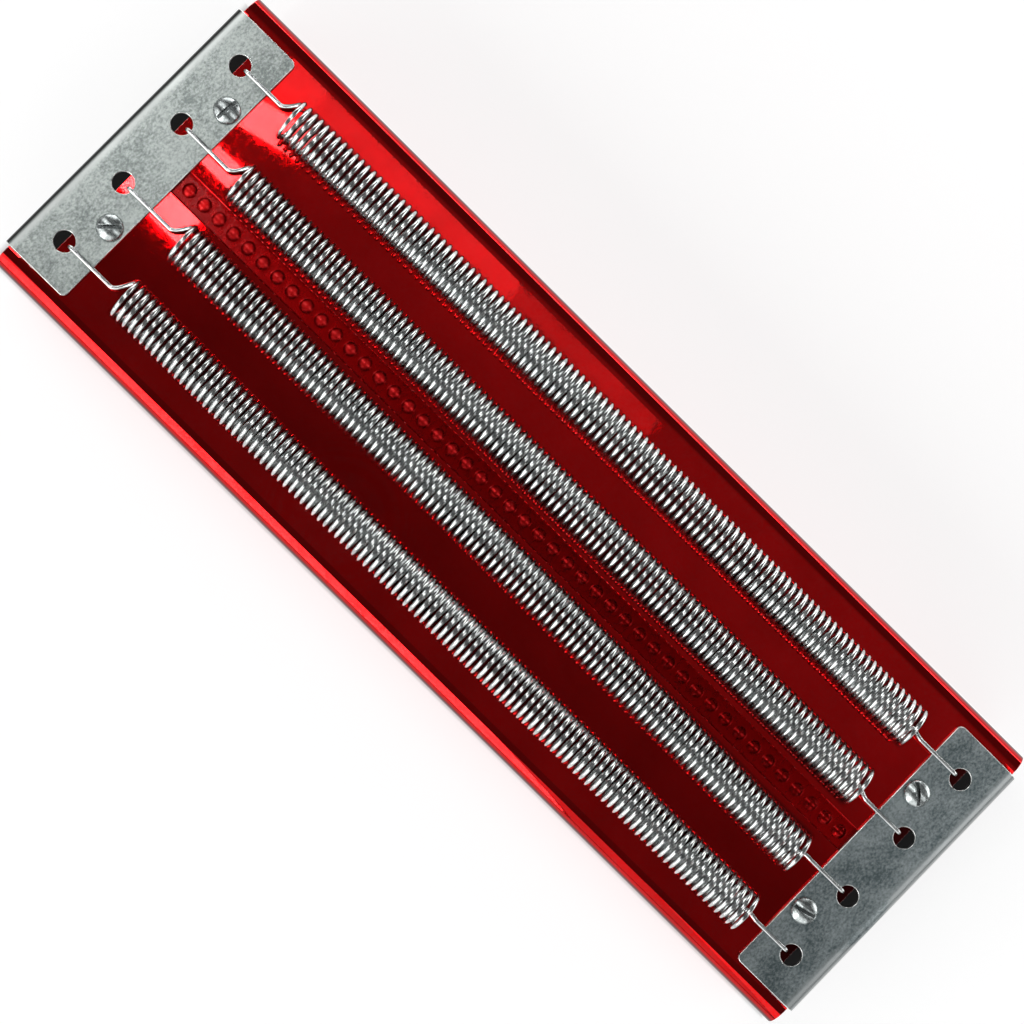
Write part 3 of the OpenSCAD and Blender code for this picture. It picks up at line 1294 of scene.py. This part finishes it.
@dataclass
class SlottedScrew:
    """A slotted screw with a domed head and a thread, and its washer and nut under the plate."""

    layout: Layout
    number: int
    slot_turn: float
    head: float = 7.6 * MM
    head_height: float = 2.6 * MM
    head_edge: float = 1 * MM
    sides: int = 48
    dome_steps: int = 8
    dome_inset: float = 0.25 * MM
    head_rim: tuple[Pair, ...] = ((0.06 * MM, 0.02 * MM), (0, 0.16 * MM))
    head_foot: tuple[Pair, ...] = ((0, 0.18 * MM), (0.05 * MM, 0.05 * MM), (0.18 * MM, 0))
    slot_width: float = 1 * MM
    slot_depth: float = 1.1 * MM
    edge_round: float = 0.07 * MM
    shank: float = 4 * MM
    thread_pitch: float = 0.7 * MM
    thread_depth: float = 0.3 * MM
    thread_half_share: float = 0.42
    thread_steps: int = 24
    thread_root: float = 0.05 * MM
    thread_blunt: float = 0.02 * MM
    thread_ends: Pair = (0.1 * MM, 0.5 * MM)
    bore_room: float = 0.05 * MM
    washer_round: float = 0.2 * MM
    washer_knee: float = 0.3
    washer_chamfer: float = 0.1 * MM
    nut_face_share: float = 0.96
    nut_chamfer: float = 30
    nut_sink: float = 0.35 * MM
    nut_round: float = 0.05 * MM
    nut_past: Pair = (1.02, 0.01 * MM)

    @property
    def place(self) -> Vector:
        """The foot of the screw's head."""
        return self.layout.screws[self.number - 1]

    @property
    def bore(self) -> float:
        """Radius of the washer's and nut's bore."""
        return self.shank / 2 + self.bore_room

    @property
    def tip(self) -> float:
        """Height of the screw's lower end over the foot of its head."""
        return self.box("screw")[0].z - self.place.z

    def box(self, kind: str) -> tuple[Vector, Vector]:
        """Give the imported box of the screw, washer or nut."""
        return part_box(f"{kind}_{self.number}")

    def head_profile(self) -> Profile:
        """Give the half section of the head and shank.

        Returns:
            Radius and height of each point, from the top down the outside.
        """
        half = self.head / 2
        rise = self.head_height - self.head_edge
        dome = (half * half + rise * rise) / (2 * rise)
        stop = math.asin((half - self.dome_inset) / dome)
        angles = [stop * k / self.dome_steps for k in range(self.dome_steps + 1)]
        points = [(dome * math.sin(a), self.head_height - dome * (1 - math.cos(a))) for a in angles]
        points += [(half - inset, self.head_edge - fall) for inset, fall in self.head_rim]
        points += [(half - inset, rise) for inset, rise in self.head_foot]
        shank, slope = self.shank / 2, self.thread_depth
        core = shank - slope
        points += [(shank, 0), (shank, -self.layout.grip), (core, -self.layout.grip - slope)]
        return points + [(core, self.tip + slope), (core - slope, self.tip), (0, self.tip)]

    def thread(self, mesh: Mesh) -> None:
        """Wind the thread's ridge round the lower shank.

        Args:
            mesh: The screw.
        """
        begin, end = self.thread_ends
        pitch = self.thread_pitch
        turns = (-self.layout.grip - end - self.tip - pitch) / pitch
        steps = round(turns * self.thread_steps)
        core = self.shank / 2 - self.thread_depth - self.thread_root
        half = pitch * self.thread_half_share
        start = self.tip + half + begin
        places = ((core, start - half), (self.shank / 2 - self.thread_blunt, start), (core, start + half))
        verts = [bmesh.ops.create_vert(mesh, co=(x, 0, z))["vert"][0] for x, z in places]
        face = bmesh.ops.contextual_create(mesh, geom=verts)["faces"]
        ridge = face + list(face[0].edges) + verts
        bmesh.ops.spin(mesh, geom=ridge, cent=(0, 0, 0), axis=(0, 0, 1), angle=math.tau * turns, steps=steps,
                       dvec=(0, 0, pitch * turns / steps))

    def build_screw(self, finish: Material, slot_shade: Material) -> None:
        """Turn the screw, saw its slot and wind its thread.

        Args:
            finish: Its plating.
            slot_shade: The painted shade finish of the slot's inside.
        """
        slot_floor = self.head_height - self.slot_depth
        saw = bmesh.new()
        centre = Matrix.Translation((0, 0, slot_floor + self.head))
        size = Matrix.Diagonal((self.head * 2, self.slot_width, self.head * 2, 1))
        bmesh.ops.create_cube(saw, size=1, matrix=centre @ size)
        mesh = cut(turned(self.head_profile(), self.sides), saw)
        for face in mesh.faces:
            middle = face.calc_center_median()
            if abs(middle.y) < self.slot_width / 2 + WELD and middle.z > slot_floor - WELD:
                # the slot's inside gets the painted shade finish
                face.material_index = 1
        round_edges(mesh, self.edge_round, 2, over=44)
        self.thread(mesh)
        bmesh.ops.recalc_face_normals(mesh, faces=mesh.faces[:])
        move(mesh, self.place, self.slot_turn)
        self.add_part(mesh, "slotted_screw", "screw", finish, slot_shade)

    def add_part(self, mesh: Mesh, name: str, kind: str, *finishes: Material) -> None:
        """Make a numbered piece of the finished screw, washer or nut."""
        add_piece(mesh, f"{name}_{self.number}", Slot.FASTENER, f"{kind}_{self.number}", *finishes)

    def build_washer(self, finish: Material) -> None:
        """Stamp the washer, with one rounded face.

        Args:
            finish: Its plating.
        """
        low, high = self.box("washer")
        half = (high.x - low.x) / 2
        thick = high.z - low.z
        soft, knee, chamfer = self.washer_round, self.washer_knee * self.washer_round, self.washer_chamfer
        profile = [(self.bore, chamfer), (self.bore, thick), (half, thick), (half, soft), (half - knee, knee),
                   (half - soft, 0), (self.bore + chamfer, 0), (self.bore, chamfer)]
        mesh = turned(profile, self.sides)
        move(mesh, Vector((self.place.x, self.place.y, low.z)))
        self.add_part(mesh, "flat_washer", "washer", finish)

    def build_nut(self, finish: Material) -> None:
        """Shape the nut: a hexagon with turned corners and a countersunk bore.

        Args:
            finish: Its plating.
        """
        low, high = self.box("nut")
        corner, thick = (high.x - low.x) / 2, high.z - low.z
        face = (high.y - low.y) / 2 * self.nut_face_share
        rise = (corner - face) * math.tan(math.radians(self.nut_chamfer))
        wider, step = self.nut_past
        blank = bmesh.new()
        place = Matrix.Translation((0, 0, thick / 2)) @ Matrix.Rotation(math.pi / 6, 4, "Z")
        bmesh.ops.create_cone(blank, cap_ends=True, segments=6, radius1=corner, radius2=corner, depth=thick,
                              matrix=place)
        sink, bore = self.nut_sink, self.bore
        corners = [(0, 0), (face, 0), (corner, rise), (corner * wider, rise + step)]
        drill = [(0, -sink), (bore + 2 * sink, -sink), (bore, sink)]
        mesh = cut(blank, turned(self.mirrored(corners, thick), self.sides), "INTERSECT")
        mesh = cut(mesh, turned(self.mirrored(drill, thick), self.sides))
        round_edges(mesh, self.nut_round, 1, over=48)
        move(mesh, Vector((self.place.x, self.place.y, low.z)))
        self.add_part(mesh, "hex_nut", "nut", finish)

    @staticmethod
    def mirrored(lower: Profile, thick: float) -> Profile:
        """Follow the lower half of a profile with its mirror image."""
        return lower + [(radius, thick - height) for radius, height in reversed(lower)]

    def build(self, finish: Material, slot_shade: Material) -> None:
        """Make the screw, its washer and its nut.

        Args:
            finish: Their plating.
            slot_shade: The painted shade finish of the slot's inside.
        """
        self.build_screw(finish, slot_shade)
        self.build_washer(finish)
        self.build_nut(finish)


# Studio


class Facing(Enum):
    """Which way a light faces, by the number of the coordinate that is 0 where it aims."""

    ACROSS = 1
    DOWN = 2


@dataclass(frozen=True)
class Panel:
    """A flat studio light."""

    name: str
    place: Triple
    width: float
    depth: float
    level: float
    facing: Facing = Facing.DOWN
    turn: float = 0
    target: Triple | None = None

    def aim(self) -> Vector:
        """Give the place that the light aims at.

        Returns:
            The place.
        """
        if self.target:
            return Vector(self.target)
        place = Vector(self.place)
        place[self.facing.value] = 0
        return place

    def add(self) -> None:
        """Hang the light, as bright as its level says whatever its size."""
        lamp = bpy.data.lights.new(self.name, "AREA")
        lamp.shape = "RECTANGLE"
        lamp.size = self.width
        lamp.size_y = self.depth
        lamp.energy = self.level * math.pi * self.width * self.depth
        holder = add_object(self.name, lamp)
        holder.location = self.place
        facing = (Vector(self.place) - self.aim()).to_track_quat("Z", "Y")
        holder.rotation_mode = "QUATERNION"
        holder.rotation_quaternion = facing @ Euler((0, 0, math.radians(self.turn))).to_quaternion()


SIDE_LIGHTS = (
    Panel("side_far_left", (-2.275, -2.0, 1.55), 3.45, 1.9, 1.8, Facing.ACROSS),
    Panel("side_left", (-0.10, -2.0, 1.20), 0.90, 2.2, 4.6, Facing.ACROSS),
    Panel("side_middle", (0.515, -2.0, 1.25), 0.31, 2.2, 1.0, Facing.ACROSS),
    Panel("side_right", (2.34, -2.0, 1.35), 3.33, 2.2, 1.6, Facing.ACROSS),
    Panel("far_side_low", (-0.25, 2.5, 0.12), 3.0, 0.22, 6, Facing.ACROSS),
    Panel("far_side_left", (-2.85, 2.5, 0.65), 4.3, 1.2, 3, Facing.ACROSS),
    Panel("far_side_right", (2.95, 2.5, 0.65), 4.0, 1.2, 3, Facing.ACROSS),
    Panel("left_softbox", (-1.145, 0.19, 1.174), 0.42, 1.8, 2.4, target=(-0.116, 0.19, -0.05)),
    Panel("right_softbox", (1.206, 0.19, 1.122), 0.42, 1.64, 1.9, target=(0.177, 0.19, -0.102)),
)

# Their mirror images lie on the plate
OVERHEAD_STRIPS = (
    Panel("left_strip_far", (-0.298, 0.157, 1.45), 0.068, 0.028, 18, turn=13.8),
    Panel("left_strip_middle", (-0.313, 0.104, 1.45), 0.05, 0.020, 22),
    Panel("left_strip_near", (-0.45, 0.047, 1.45), 0.33, 0.028, 25),
    Panel("back_end_left", (-0.305, 0.189, 1.45), 0.040, 0.044, 1.5),
    Panel("back_strip_left", (-0.178, 0.199, 1.45), 0.236, 0.024, 1.1, turn=1),
    Panel("back_strip_middle", (0.02, 0.202, 1.45), 0.16, 0.022, 0.5, turn=1),
    Panel("near_strip", (0.06, -0.054, 1.45), 0.98, 0.046, 0.07),
)


@dataclass
class Studio:
    """Floor, surroundings, lights and camera."""

    floor_half: float = 12.0
    floor_drop: float = 0.05 * MM
    floor_colour: Triple = (0.34, 0.34, 0.34)
    floor_glow: float = 0.74
    # how far the painted shade on the floor reaches past the object's ends and sides
    under_past_ends: Pair = (4 * MM, 8.4 * MM)
    under_past_sides: Pair = (-0.5 * MM, 2 * MM)
    painted_shade_colour: Triple = (0.02, 0.02, 0.02)
    room_dark: float = 0.115
    room_bright: float = 0.30
    room_colour: Triple = (0.97, 0.985, 1.0)
    ceiling: Triple = (0.13, 0.12, 1.0)
    ceiling_spread: Pair = (34, 8)
    lean_spread: Pair = (0.0, 6.0)
    lean_dark: float = 0.05
    camera_place: Triple = (-34.38 * MM, -35.56 * MM, 750.31 * MM)
    camera_tilt: Triple = (0.137, -3.921, 44.54)
    lens: float = 89.5
    sensor: float = 36
    sight: float = 100

    def floor(self) -> None:
        """Lay the pale floor, which shows only from above."""
        mesh = bmesh.new()
        bmesh.ops.create_grid(mesh, x_segments=1, y_segments=1, size=self.floor_half,
                              matrix=Matrix.Translation((0, 0, -self.floor_drop)))
        add_mesh(mesh, "floor", self.floor_paint())

    def floor_paint(self) -> Material:
        """Make the floor's matt paint, which glows for the camera and reflections, with painted shade under
        the object and a little past its edges, where it is dark and does not glow.

        Returns:
            The material, clear from underneath.
        """
        shader = Shader("floor_paint")
        clear_of_painted_shade = self.clear_of_painted_shade(shader)
        rays = shader.add("LightPath").outputs
        seen = rays["Is Camera Ray"]
        for name in ("Is Glossy Ray", "Is Transmission Ray"):
            seen = shader.work_out("MAXIMUM", seen, rays[name])
        # painted shade: the floor dark and without glow under the object
        shader.set(
            Base_Color=shader.blend(clear_of_painted_shade, self.painted_shade_colour, self.floor_colour),
            Emission_Color=(1, 1, 1),
            Emission_Strength=shader.product(seen, self.floor_glow, clear_of_painted_shade),
            Roughness=0.9,
            Specular_IOR_Level=0.1,
        )
        back = shader.add("NewGeometry").outputs["Backfacing"]
        clear = shader.add("BsdfTransparent").outputs[0]
        mix = shader.add("MixShader", {0: back, 1: shader.surface.outputs[0], 2: clear})
        shader.feed(shader.tree.nodes["Material Output"].inputs["Surface"], mix.outputs[0])
        return shader.material

    def clear_of_painted_shade(self, shader: Shader) -> Socket:
        """Tell the open floor from the painted shade under the object.

        Args:
            shader: The floor's material.

        Returns:
            A value that is 1 on the open floor and 0 well under the object.
        """
        _, high = CAD_BOX
        past = []
        for axis, half, (begin, end) in zip("XY", high, (self.under_past_ends, self.under_past_sides)):
            past.append(shader.away(axis, 0, 0, 1, half + begin, half + end))
        return shader.work_out("MAXIMUM", *past)

    def room(self) -> None:
        """Set the dim room, a little lighter overhead."""
        world = bpy.data.worlds.new("room")
        world.use_nodes = True
        room = Nodes(world.node_tree)
        facing = room.add("TexCoord").outputs["Generated"]
        straight = Vector(self.ceiling).normalized()
        overhead = room.add("VectorMath", {0: facing, 1: straight}, operation="DOT_PRODUCT").outputs["Value"]
        sideways = room.add("SeparateXYZ", {0: facing}).outputs["Y"]
        near = [math.cos(math.radians(angle)) for angle in self.ceiling_spread]
        across = [math.sin(math.radians(angle)) for angle in self.lean_spread]
        patch = room.spread(overhead, 0, 1, *near, kind="SMOOTHSTEP")
        lean = room.spread(sideways, self.lean_dark, 1, *across, kind="SMOOTHSTEP")
        light = room.spread(room.product(patch, lean), self.room_dark, self.room_bright, 0, 1)
        background = room.tree.nodes["Background"].inputs
        room.feed(background["Color"], self.room_colour)
        room.feed(background["Strength"], light)
        bpy.context.scene.world = world

    def camera(self) -> None:
        """Place the camera at the photograph's view."""
        data = bpy.data.cameras.new("camera")
        data.sensor_width = self.sensor
        data.lens = self.lens
        data.clip_end = self.sight
        camera = add_object("camera", data)
        camera.location = self.camera_place
        camera.rotation_euler = [math.radians(angle) for angle in self.camera_tilt]
        bpy.context.scene.camera = camera

    def build(self) -> None:
        """Set up the whole studio."""
        self.floor()
        self.room()
        for panel in SIDE_LIGHTS + OVERHEAD_STRIPS:
            panel.add()
        self.camera()
        bpy.context.scene.view_settings.view_transform = "Standard"
        log.info("studio: floor, lights and camera")


def springs(layout: Layout) -> Iterable[CoilSpring]:
    """Give the four springs, each with its own length, curls and small bow.

    Args:
        layout: Places that the pieces share.

    Returns:
        The springs, in the order of their rows.
    """
    yield CoilSpring(layout, 1, -119.5 * MM, 119.9 * MM, 108, (-1.07 * MM, -0.41 * MM, 0.15 * MM))
    yield CoilSpring(layout, 2, -117.2 * MM, 120.5 * MM, 110, (-0.34 * MM, 0.28 * MM, 0.97 * MM))
    yield CoilSpring(layout, 3, -116.9 * MM, 121.05 * MM, 110, (-0.52 * MM, -0.43 * MM, -1.23 * MM))
    yield CoilSpring(layout, 4, -117.2 * MM, 121.8 * MM, 109, (0.32 * MM, -0.24 * MM, -0.40 * MM))


SLOT_TURNS = (85, 42, -42, 15)

# Heights between which the strip's finish changes to the painted highlight of the bead tops, over its floor
# and over the plate
STRIP_FLOOR_ROOM = 0.15 * MM
BEAD_TOP_ROOM = 0.25 * MM

WIRE = BrightMetal("drawn_wire", (0.40, 0.42, 0.42), (0.80, 0.82, 0.81), rough=(0.12, 0.22), tone_depth=0,
                   tone=Grain((240, 420, 420), 4, 0.65), marks=Grain((3800, 700, 700), 2))
FASTENERS = BrightMetal("bright_plate", (0.22, 0.245, 0.245), (0.62, 0.66, 0.65))
# painted shade: the near-black inside of the screws' slots
SLOT_SHADE = BrightMetal("slot_painted_shade", (0.02, 0.022, 0.022), (0.10, 0.11, 0.11))
# Lit and shaded copies of one zinc: painted lighter on the left bracket, with a near-black painted shade line
# on its bend, and painted darker on the right bracket
LIT_LEFT_ZINC = Zinc("lit_left_zinc", (0.155, 0.175, 0.168), (0.47, 0.51, 0.49), (0.52, 0.55, 0.535), shade_line_left=0.02)
SHADED_RIGHT_ZINC = Zinc("shaded_right_zinc", (0.085, 0.11, 0.115), (0.31, 0.35, 0.355), (0.35, 0.37, 0.37), highlight_in_gaps=0.1)
# Pale zinc on the brackets' rounded edges: edge wear with a painted highlight
EDGE_ZINC_WEAR_AND_HIGHLIGHT = Zinc("edge_zinc_wear_and_highlight", dull=(0.60, 0.62, 0.60), bright=(0.86, 0.88, 0.86),
                   bend=(0.86, 0.88, 0.86), rough=(0.20, 0.32))


def main() -> None:
    """Build and dress every piece, then the studio round them."""
    logging.basicConfig(level=logging.INFO, format="%(name)s: %(message)s", stream=sys.stdout)
    layout = Layout.from_frame()
    sheet = FoldedSheet(layout)
    outer, inner = layout.rows[:2]
    # painted shade under the coils and in the right bracket's holes
    coil_shade = PaintedCoilShade((outer + inner) / 2, (outer - inner) / 2)
    lacquer = RedLacquer(coil_shade, sheet.bend_shade_line)
    pressed = PressedLacquer(sheet.strip_floor + STRIP_FLOOR_ROOM, layout.plate + BEAD_TOP_ROOM)
    sheet.build(lacquer.material(), WornEdge(coil_shade).material(), pressed.material())
    # zinc for the brackets' edges: edge wear with a painted highlight
    wear_and_highlight = EDGE_ZINC_WEAR_AND_HIGHLIGHT.material()
    # the left bracket gets the lit copy of the zinc, the right one the shaded copy
    for end, zinc in ((End.LEFT, LIT_LEFT_ZINC), (End.RIGHT, SHADED_RIGHT_ZINC)):
        AngleBracket(layout, end).build(zinc.material(), wear_and_highlight)
    wire = WIRE.material()
    for spring in springs(layout):
        spring.build(wire)
    plate, slot_shade = FASTENERS.material(), SLOT_SHADE.material()
    for number, turn in enumerate(SLOT_TURNS, 1):
        SlottedScrew(layout, number, turn).build(plate, slot_shade)
    Studio().build()


if __name__ == "__main__":
    main()
